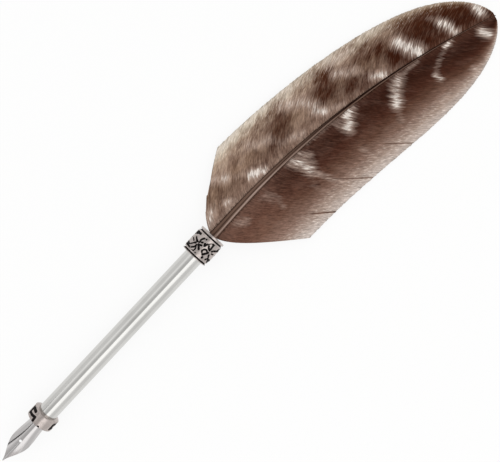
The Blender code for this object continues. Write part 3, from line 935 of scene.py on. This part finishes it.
# Colour of the web from the shaft, at 0, to the edge, at 1: the light ground and the dark areas of each vane
LEFT_LIGHT = (
    (0.0, "#8d7466"), (0.12, "#876e60"), (0.5, "#8c725f"), (0.65, "#9a8170"),
    (0.78, "#b09884"), (0.9, "#cdbeab"), (1.0, "#dcd1c2"),
)
LEFT_DARK = (
    (0.0, "#4a2d21"), (0.12, "#391809"), (0.3, "#361608"), (0.65, "#3f1c0b"),
    (0.83, "#54331f"), (0.94, "#927a65"), (1.0, "#b9a896"),
)
RIGHT_LIGHT = (
    (0.0, "#6c5044"), (0.3, "#67473a"), (0.5, "#725345"), (0.7, "#8d7164"),
    (0.8, "#a28b7f"), (0.9, "#bfb0a7"), (1.0, "#d0c5be"),
)
RIGHT_DARK = (
    (0.0, "#44291f"), (0.11, "#351a11"), (0.2, "#31170d"), (0.4, "#432419"),
    (0.55, "#573a2d"), (0.7, "#7b6053"), (0.85, "#a48e81"), (1.0, "#c6b8af"),
)

# Places where the barbs have parted: distance of the barb's root past the ferrule in millimetres, the share
# of the barb where the parting starts, and how dark the painted shadow line along it is. Its spread and the
# painted shadow's width are counted in barbs.
RIGHT_PARTINGS = ((15.5, 0.7, 1.0), (35.5, 0.55, 0.6), (57.5, 0.7, 0.85))
PARTING_SPREAD = 4.0
PARTING_SHADOW_WIDTH = 0.6

# Short barbs at the left vane's base: root up to which they are short and their reach, in millimetres
LEFT_STEPS = ((0.5, 8.6), (1.5, 12.6), (2.1, 14.6))
STEP_BACK = 0.5 * MM

# Barbs: faces along each, the share of the shaft's half width at which they start, and how far their tips
# stand out past the trimmed edge, which barbs of less than the full reach do less
BARB_COLUMNS = 26
ROOT_SHARE = 0.8
TIP_REACH = 0.05 * MM
TIP_LIMIT = 0.3 * MM
FULL_TIP_REACH = 8 * MM
SHORTEST_BARB = 0.4 * MM
NARROWEST_EDGE = 0.5 * MM
TABLE_ROWS = 600
VANE_CREASE = 80.0

# How much the barbs differ: in length, height and shift of their marks, in millimetres, and in the strength
# of their marks
BARB_SPREADS = (0.07, 0.04, 0.5)
MARK_STRENGTHS = (0.82, 1.1)
LEFT_SEED = 4
RIGHT_SEED = 9

# Slow waves in the vanes: length along the shaft, and number from the shaft to the edge
WAVE_LENGTH = 16 * MM
WAVES_OUT = 1.5

# The bake map lays the feather flat in a square of this size
BAKE_SPAN = 0.15
BAKE_MARGIN = 0.02


def edge_distance(feather, vane, station):
    """Distance of a vane's trimmed edge from the shaft."""
    ratio = np.clip(station / feather.reach, 0.0, 1.0)
    return vane.width * (1 - vane.taper * ratio) * (1 - ratio**vane.power) ** vane.rounding


def barb_table(feather, vane):
    """Root stations, end stations and reaches of barbs along a vane, to read others between them."""
    first_end = edge_distance(feather, vane, 0.0) / tan(vane.base_angle)
    ends = np.linspace(first_end, feather.reach - SHORTEST_BARB, TABLE_ROWS)
    reaches = edge_distance(feather, vane, ends)
    angles = vane.base_angle + (vane.tip_angle - vane.base_angle) * ends / feather.reach
    return ends - reaches / np.tan(angles), ends, reaches


def barb_ends(table, curve, root, steps):
    """End stations and reaches of the barbs at the given roots, some of them cut short by the steps."""
    end = np.interp(root, table[0], table[1])
    reach = np.interp(root, table[0], table[2])
    for step_root, step_reach in reversed(steps):
        short = (root < step_root * MM) & (reach > step_reach * MM)
        cut_end = root + (end - root) * (step_reach * MM / reach) ** curve - STEP_BACK
        end = np.where(short, cut_end, end)
        reach = np.where(short, step_reach * MM, reach)
    return end, reach


def barb_jitter(draw):
    """One barb's own length, height and shift of its marks along the shaft, and its marks' strength."""
    return [draw.gauss(0, spread) * MM for spread in BARB_SPREADS] + [draw.uniform(*MARK_STRENGTHS)]


def parting_at(parting, away, ratio):
    """How far the web is open beside a parting, away from it in barbs, and how dark the painted shadow line
    along the parting is.
    """
    _, start, shadow_darkness = parting
    opened = smooth_step(start, 1.0, ratio) ** 0.5 * np.exp(-away / PARTING_SPREAD)
    return opened, shadow_darkness * opened * np.exp(-((away / PARTING_SHADOW_WIDTH) ** 2))


def marks(station, out, drawn, fade):
    """How strong a list of marks is at each place."""
    power, halo = fade
    amount = np.zeros(station.shape)
    for strength, spread, line in drawn:
        ratio = line_distance(station / MM, out / MM, line) / spread
        profile = (1 - halo) * np.exp(-(ratio**power)) + halo * np.exp(-((ratio / HALO_SPREAD) ** 2))
        amount = np.maximum(amount, strength * profile)
    return amount


def slow_change(station, changes):
    """Sum of slow changes along a vane."""
    return sum(amount * smooth_step(start, end, station / MM) for amount, start, end in changes)


def left_paint(station, out):
    """Pale, dark and mottle shares of the left vane, and the power that narrows its pale margin.

    It is mottled beige at its base, barred, and darker towards the tip.
    """
    pale = marks(station, out, LEFT_PALE_MARKS, PALE_FADE)
    patches = marks(station, out, LEFT_DARK_MARKS, PATCH_FADE)
    faded = marks(station, out, LEFT_FADED_MARKS, PLAIN_FADE)
    dark = slow_change(station, LEFT_DARKENING) + patches - faded
    mottle = (1.0 - slow_change(station, LEFT_CALMING)) * (1.0 - patches)
    return pale, dark, mottle, 1.0 + slow_change(station, LEFT_NARROWING)


def right_paint(station, out):
    """Pale, dark and mottle shares of the right vane, and the power that narrows its pale margin.

    It is dark at the shaft and fades evenly to its edge.
    """
    pale = marks(station, out, RIGHT_PALE_MARKS, PALE_FADE)
    dark = slow_change(station, RIGHT_DARKENING) + marks(station, out, RIGHT_DARK_MARKS, PLAIN_FADE)
    margin = 1.0 + slow_change(station, RIGHT_NARROWING) + marks(station, out, RIGHT_NICKS, PLAIN_FADE)
    return pale, dark, np.full(station.shape, RIGHT_MOTTLE), margin


def barb_web(name, colours, light_codes, dark_codes):
    """Hooked barbs of a wing feather: satin web, streaked along the barbs, mottled, barred and pale-edged."""
    material, tree, shader = new_material(name)
    paint = add_node(tree, "Attribute", attribute_name="paint")
    barbs = add_node(tree, "Attribute", attribute_name="barb").outputs["Vector"]
    amounts = add_node(tree, "SeparateColor", {"Color": paint.outputs["Color"]}).outputs
    # Barbules are some 0.05 mm apart; 0.5 mm shows. Grain, streaks and clumps follow the barbs by their root
    # and distance out, and mottling is about 5 mm wide and only leans with them
    scales = {
        "grain": (1 / 0.0006, 1 / 0.0012, 0.0),
        "fine": (1 / 0.00045, 1 / 0.003, 0.0),
        "clump": (1 / 0.001, 1 / 0.0035, 0.0),
        "mottle": (1 / 0.006, 1 / 0.005, 1 / 0.012),
    }
    noises = {}
    for pattern, scale in scales.items():
        place = add_node(tree, "Mapping", {"Vector": barbs}, {"Scale": scale})
        values = {"Scale": 1.0, "Detail": 4.0, "Roughness": 0.6}
        noises[pattern] = add_node(tree, "TexNoise", {"Vector": place}, values)
    streaks = add_node(tree, "Math", {0: noises["fine"], 1: noises["clump"]}, operation="ADD")
    speckle = add_node(tree, "Math", {0: noises["fine"], 1: noises["grain"]}, operation="ADD")
    limits = {"From Min": 0.35, "From Max": 0.65, "To Min": -1.0, "To Max": 1.0}
    blotch = add_node(tree, "MapRange", {"Value": noises["mottle"]}, limits)
    mottle = add_node(tree, "Math", {0: blotch, 1: paint.outputs["Alpha"]}, operation="MULTIPLY")
    limits = {"From Min": 0.75, "From Max": 1.25, "To Min": -0.4, "To Max": 0.4}
    comb = add_node(tree, "MapRange", {"Value": streaks}, limits)

    # The ground goes from the shaft to the pale edge, and dark areas have a deeper ground of their own
    add_scaled = "MULTIPLY_ADD"
    way_out = add_node(tree, "Math", {0: mottle, 2: amounts["Green"]}, {1: 0.06}, operation=add_scaled)
    light_stops = [(position, linear(code)) for position, code in light_codes]
    dark_stops = [(position, linear(code)) for position, code in dark_codes]
    light = add_node(tree, "ValToRGB", {"Fac": way_out}, stops=light_stops)
    dark = add_node(tree, "ValToRGB", {"Fac": way_out}, stops=dark_stops)
    ruffled = add_node(tree, "Math", {0: comb, 2: amounts["Blue"]}, {1: -0.5}, operation=add_scaled)
    depth = add_node(tree, "Math", {0: mottle, 2: ruffled}, {1: -0.34}, operation=add_scaled, use_clamp=True)
    ground = add_node(tree, "Mix", {0: depth, 6: light, 7: dark}, data_type="RGBA").outputs[2]

    # Pale bars and spots break up into streaks along the barbs
    bar = add_node(tree, "Math", {0: amounts["Red"], 1: comb, 2: amounts["Red"]}, operation=add_scaled)
    white = add_node(tree, "MapRange", {"Value": bar}, {"From Min": 0.12, "From Max": 0.88})
    pale = add_node(tree, "Math", {0: mottle, 2: white}, {1: 0.12}, operation=add_scaled, use_clamp=True)
    stops = [(0.0, colours.bar_edge), (0.5, colours.bar_edge), (1.0, colours.pale_bar)]
    bleached = add_node(tree, "ValToRGB", {"Fac": pale}, stops=stops)
    barred = add_node(tree, "Mix", {0: pale, 6: ground, 7: bleached}, data_type="RGBA").outputs[2]

    # Loose barbules dust the margin with pale dots
    limits = {"From Min": 0.54, "From Max": 0.68, "To Max": 0.65}
    dots = add_node(tree, "MapRange", {"Value": noises["grain"]}, limits)
    near_edge = add_node(tree, "MapRange", {"Value": amounts["Green"]}, {"From Min": 0.66, "From Max": 0.92})
    dust = add_node(tree, "Math", {0: dots, 1: near_edge}, operation="MULTIPLY")
    dot_colour = {7: (*colours.pale_bar, 1.0)}
    dusted = add_node(tree, "Mix", {0: dust, 6: barred}, dot_colour, data_type="RGBA").outputs[2]

    limits = {"From Min": 0.7, "From Max": 1.3, "To Min": 0.56, "To Max": 1.44}
    sheen = add_node(tree, "MapRange", {"Value": speckle}, limits)
    tint = add_node(
        tree, "Mix", {6: dusted, 7: sheen}, {0: 1.0}, data_type="RGBA", blend_type="MULTIPLY"
    ).outputs[2]
    set_sockets(shader, {"Base Color": tint}, {"Roughness": 0.7, "Specular IOR Level": 0.03})
    return material


def make_vane(name, material, node, feather, vane, side, paint_at, seed, partings=(), steps=()):
    """A vane laid barb by barb: each has a ridge, its own length and tip, and the web parts in a few places.

    side is 1 for the left vane and -1 for the right.
    """
    draw = random.Random(seed)
    count = int(feather.reach / feather.barb_pitch)
    jitter = np.array([barb_jitter(draw) for _ in range(count + 2)])
    table = barb_table(feather, vane)
    cuts = [0] + [int(root * MM / feather.barb_pitch) for root, _, _ in partings] + [count]

    shape = bmesh.new()
    paint = shape.verts.layers.float_color.new("paint")
    barb = shape.verts.layers.float_vector.new("barb")
    for web, (first, last) in enumerate(zip(cuts, cuts[1:])):
        rows = 2 * (last - first)
        corners = bmesh.ops.create_grid(shape, x_segments=rows, y_segments=BARB_COLUMNS, size=0.5)["verts"]
        unit = np.array([corner.co for corner in corners]) + 0.5
        row = np.round(unit[:, 0] * rows).astype(int)
        ratio = unit[:, 1]
        place = first + row / 2
        own_length, own_height, own_shift, own_strength = jitter[place.astype(int)].T
        root = place * feather.barb_pitch
        end, reach = barb_ends(table, vane.curve, root, steps)
        station = root + (end - root) * ratio**vane.curve
        near = ROOT_SHARE * shaft_radius(feather, station)
        tip = np.minimum(TIP_REACH + own_length, TIP_LIMIT) * np.minimum(reach / FULL_TIP_REACH, 1.0)
        out = near + np.maximum(reach + tip - near, SHORTEST_BARB) * ratio

        # Odd rows are the barbs' ridges. At a parting a web's first barb slips under the last one of the web
        # before it, and line is a painted shadow along the parting.
        waves = [noise.noise((at / WAVE_LENGTH, way * WAVES_OUT, seed)) for at, way in zip(root, ratio)]
        lift = row % 2 * feather.barb_ridge * (1 - ratio / 2) + own_height * ratio
        lift = lift + feather.wave * np.array(waves) * ratio**2
        line = np.zeros(root.shape)
        if web > 0:
            opened, line = parting_at(partings[web - 1], place - first, ratio)
            lift = lift - feather.slip * opened
        if web < len(partings):
            line = line + parting_at(partings[web], last - place, ratio)[1]
        centre, aside = shaft_line(feather, station)
        points = centre + aside * (side * out)[:, None]
        points[:, 2] += lift - out**2 / (2 * feather.camber)

        pale, dark, mottle, margin = paint_at(station + own_shift, out)
        edge = np.maximum(edge_distance(feather, vane, station), NARROWEST_EDGE)
        # The painted shadow line of a parting darkens the web and also dims its pale margin
        edge_share = np.clip(out / edge, 0.0, 1.0) ** margin * (1 - line / 2)
        shares = np.stack([pale * own_strength, edge_share, np.clip(dark + line, 0.0, 1.0), mottle], axis=-1)
        barb_places = np.stack([root, out, station], axis=-1)
        for corner, point, amounts, barb_place in zip(corners, points, shares, barb_places):
            corner.co = point
            corner[paint] = amounts
            corner[barb] = barb_place

    bake = shape.loops.layers.uv.new("OFBake")
    shape.normal_update()
    for face in shape.faces:
        for loop in face.loops:
            spot = loop.vert.co
            across = 0.5 + (spot.y - AXIS_Y) / BAKE_SPAN
            loop[bake].uv = ((spot.x - FEATHER_X) / BAKE_SPAN + BAKE_MARGIN, across)
        if face.normal.z < 0:
            face.normal_flip()
    piece = add_piece(name, shape, material, node, crease=VANE_CREASE)
    thicken(piece, feather.web, -1.0)


class QUILL_OT_vanes(bpy.types.Operator):
    """Lays both vanes barb by barb, with their bars and trimmed edges"""

    bl_idname = "quill.vanes"
    bl_label = "Vanes"

    def execute(self, context):
        scene = context.scene
        make_vane(
            "left_vane_barbs",
            barb_web("pale_feather_barbs", scene.quill_colours, LEFT_LIGHT, LEFT_DARK),
            "left_vane",
            scene.quill_feather,
            scene.quill_left_vane,
            1,
            left_paint,
            LEFT_SEED,
            steps=LEFT_STEPS,
        )
        make_vane(
            "right_vane_barbs",
            barb_web("dark_feather_barbs", scene.quill_colours, RIGHT_LIGHT, RIGHT_DARK),
            "right_vane",
            scene.quill_feather,
            scene.quill_right_vane,
            -1,
            right_paint,
            RIGHT_SEED,
            partings=RIGHT_PARTINGS,
        )
        return {"FINISHED"}


# Stage

# The camera looks straight down on a place along the pen from the nib's point and aside of the tube's axis
IMAGE_WIDTH = 500
PIXEL_SIZE = 0.0004
CAMERA_HEIGHT = 0.275
PEN_TURN = radians(46.88)
VIEW_ALONG = 0.1337
VIEW_ASIDE = -0.0095
SENSOR_WIDTH = 36.0
FLOOR_HALF_WIDTH = 3.0
FLOOR_DROP = 0.0002
FLOOR_GLOW = 0.86
WORLD_STRENGTH = 0.95

# Soft lamps: name, distance aside from the pen and energy
SOFTBOXES = (("near_softbox", -0.42, 1.3), ("far_softbox", 0.42, 0.5))
SOFTBOX_LENGTH = 1.1
SOFTBOX_WIDTH = 0.7
SOFTBOX_X = -0.10

# What polished metal shows of the studio: bands along the pen, by their distance aside in metres and their
# share of the brightest level
CEILING_HEIGHT = 0.7
CEILING_ENDS = (-1.6, 1.4)
CEILING_HALF_WIDTH = 0.95
CEILING_LEVEL = 1.55
CEILING_BANDS = (
    (-0.95, 0.55), (-0.75, 0.68), (-0.52, 0.95), (-0.15, 1.0), (-0.09, 0.42), (0.05, 0.4),
    (0.2, 0.44), (0.4, 0.62), (0.55, 0.74), (0.72, 0.6), (0.95, 0.55),
)

# Cards under the ceiling that take light off the nib: name, card, two corners by their distance along and
# aside, and the skew of their sides
FLAG_CARDS = {"black_card": "#2a2828", "grey_card": "#e2dede"}
FLAGS = (
    ("long_flag", "black_card", (-0.9, 0.66), (-0.555, 0.86), -1.0),
    ("short_flag", "black_card", (-0.57, 0.49), (-0.485, 0.79), 0.95),
    ("point_flag", "grey_card", (-1.1, -0.65), (-0.66, -0.085), 0.0),
)
FLAG_DROP = 0.01


def white_floor():
    """Matt white sheet: white to the eye, with a part of its own shading left for the shadow."""
    material, tree, shader = new_material("white_studio_sheet")
    set_sockets(shader, values={"Base Color": (*linear("#f4f4f3"), 1.0), "Roughness": 0.9})
    path = add_node(tree, "LightPath").outputs
    seen = add_node(tree, "Math", {0: path["Is Camera Ray"], 1: path["Is Glossy Ray"]}, operation="MAXIMUM")
    glow_share = add_node(tree, "Math", {0: seen}, {1: FLOOR_GLOW}, operation="MULTIPLY")
    white = add_node(tree, "Emission", values={"Color": (1.0, 1.0, 1.0, 1.0), "Strength": 1.0})
    mix = add_node(tree, "MixShader", {0: glow_share, 1: shader, 2: white})
    set_sockets(tree.nodes["Material Output"], {"Surface": mix})
    return material


def lit_ceiling():
    """Studio ceiling as metal shows it: a bright softbox band, a grey gap over the pen and a weaker band."""
    material, tree, shader = new_material("studio_ceiling")
    place = add_node(tree, "TexCoord").outputs["Object"]
    aside = add_node(tree, "SeparateXYZ", {"Vector": place}).outputs["Y"]
    limits = {"From Min": AXIS_Y - CEILING_HALF_WIDTH, "From Max": AXIS_Y + CEILING_HALF_WIDTH}
    across = add_node(tree, "MapRange", {"Value": aside}, limits)
    width = 2 * CEILING_HALF_WIDTH
    stops = [((CEILING_HALF_WIDTH + y) / width, (level, level, level)) for y, level in CEILING_BANDS]
    bands = add_node(tree, "ValToRGB", {"Fac": across}, stops=stops)
    glow = add_node(tree, "Emission", {"Color": bands}, {"Strength": CEILING_LEVEL})
    set_sockets(tree.nodes["Material Output"], {"Surface": glow})
    tree.nodes.remove(shader)
    return material


def flag_card(name, code):
    """Black or grey card of a studio flag: it takes the light off a strip of the polished steel."""
    material, tree, shader = new_material(name)
    glow = add_node(tree, "Emission", values={"Color": (*linear(code), 1.0), "Strength": 1.0})
    set_sockets(tree.nodes["Material Output"], {"Surface": glow})
    tree.nodes.remove(shader)
    return material


def add_softbox(name, offset, energy):
    """A soft overhead lamp beside the pen, lined up with it. The ceiling is what metal shows instead."""
    light = bpy.data.lights.new(name, "AREA")
    light.shape = "RECTANGLE"
    light.size = SOFTBOX_LENGTH
    light.size_y = SOFTBOX_WIDTH
    light.energy = energy
    lamp = bpy.data.objects.new(name, light)
    lamp.location = (SOFTBOX_X, AXIS_Y + offset, CEILING_HEIGHT)
    lamp.visible_camera = False
    lamp.visible_glossy = False
    bpy.context.scene.collection.objects.link(lamp)


def add_card(name, low, high, height, material, skew=0.0):
    """A level card over the pen that only polished surfaces show, with its place in its mesh.

    skew moves its sides across by that share of their distance along.
    """
    shape = bmesh.new()
    bmesh.ops.create_grid(shape, x_segments=1, y_segments=1, size=0.5)
    bmesh.ops.scale(shape, verts=shape.verts, vec=(high[0] - low[0], high[1] - low[1], 1.0))
    for corner in shape.verts:
        corner.co.y += skew * corner.co.x
    middle = ((low[0] + high[0]) / 2, AXIS_Y + (low[1] + high[1]) / 2, height)
    bmesh.ops.translate(shape, verts=shape.verts, vec=middle)
    card = add_object(name, shape, material)
    for ray in ("camera", "diffuse", "transmission", "volume_scatter", "shadow"):
        setattr(card, "visible_" + ray, False)


class QUILL_OT_stage(bpy.types.Operator):
    """Sets the floor, the soft studio light and the camera straight above the pen"""

    bl_idname = "quill.stage"
    bl_label = "Stage"

    def execute(self, context):
        scene = context.scene
        scene.view_settings.view_transform = "Standard"

        shape = bmesh.new()
        bmesh.ops.create_grid(shape, x_segments=1, y_segments=1, size=FLOOR_HALF_WIDTH)
        bmesh.ops.translate(shape, verts=shape.verts, vec=(0.0, 0.0, -FLOOR_DROP))
        add_object("floor", shape, white_floor())

        world = bpy.data.worlds.new("studio")
        world.use_nodes = True
        sky = {"Color": (*linear("#f2f2f2"), 1.0), "Strength": WORLD_STRENGTH}
        set_sockets(world.node_tree.nodes["Background"], values=sky)
        scene.world = world

        for name, offset, energy in SOFTBOXES:
            add_softbox(name, offset, energy)
        low = (CEILING_ENDS[0], -CEILING_HALF_WIDTH)
        high = (CEILING_ENDS[1], CEILING_HALF_WIDTH)
        add_card("ceiling", low, high, CEILING_HEIGHT, lit_ceiling())
        cards = {card: flag_card(card, code) for card, code in FLAG_CARDS.items()}
        for name, card, low, high, skew in FLAGS:
            add_card(name, low, high, CEILING_HEIGHT - FLAG_DROP, cards[card], skew)

        camera = bpy.data.cameras.new("camera")
        camera.sensor_width = SENSOR_WIDTH
        camera.lens = SENSOR_WIDTH * CAMERA_HEIGHT / (IMAGE_WIDTH * PIXEL_SIZE)
        eye = bpy.data.objects.new("camera", camera)
        point_x = RING_LOW[0] - scene.quill_metal.nib_reach
        eye.location = (point_x + VIEW_ALONG, AXIS_Y + VIEW_ASIDE, AXIS_Z + CAMERA_HEIGHT)
        eye.rotation_euler = (0.0, 0.0, -PEN_TURN)
        scene.collection.objects.link(eye)
        scene.camera = eye
        return {"FINISHED"}


# Panel and registration


class QUILL_PT_panel(bpy.types.Panel):
    """Lists the pen's pieces and the stage"""

    bl_idname = "QUILL_PT_panel"
    bl_label = "Quill Pen"
    bl_space_type = "VIEW_3D"
    bl_region_type = "UI"
    bl_category = "Quill Pen"

    def draw(self, context):
        for operator in OPERATORS:
            self.layout.operator(operator.bl_idname)
        for name in SETTINGS:
            box = self.layout.box()
            settings = getattr(context.scene, name)
            for key in settings.bl_rna.properties.keys():
                if key not in ("rna_type", "name"):
                    box.prop(settings, key)


OPERATORS = (QUILL_OT_nib, QUILL_OT_rings, QUILL_OT_tube, QUILL_OT_shaft, QUILL_OT_vanes, QUILL_OT_stage)
SETTINGS = {
    "quill_metal": QuillMetalSizes,
    "quill_feather": QuillFeatherSizes,
    "quill_left_vane": QuillLeftVane,
    "quill_right_vane": QuillRightVane,
    "quill_colours": QuillColours,
}


def register():
    for name, group in SETTINGS.items():
        bpy.utils.register_class(group)
        setattr(bpy.types.Scene, name, PointerProperty(type=group))
    for operator in OPERATORS:
        bpy.utils.register_class(operator)
    bpy.utils.register_class(QUILL_PT_panel)


def unregister():
    bpy.utils.unregister_class(QUILL_PT_panel)
    for operator in reversed(OPERATORS):
        bpy.utils.unregister_class(operator)
    for name, group in SETTINGS.items():
        delattr(bpy.types.Scene, name)
        bpy.utils.unregister_class(group)


def main():
    register()
    bpy.ops.quill.nib()
    bpy.ops.quill.rings()
    bpy.ops.quill.tube()
    bpy.ops.quill.shaft()
    bpy.ops.quill.vanes()
    bpy.ops.quill.stage()


if __name__ == "__main__":
    main()
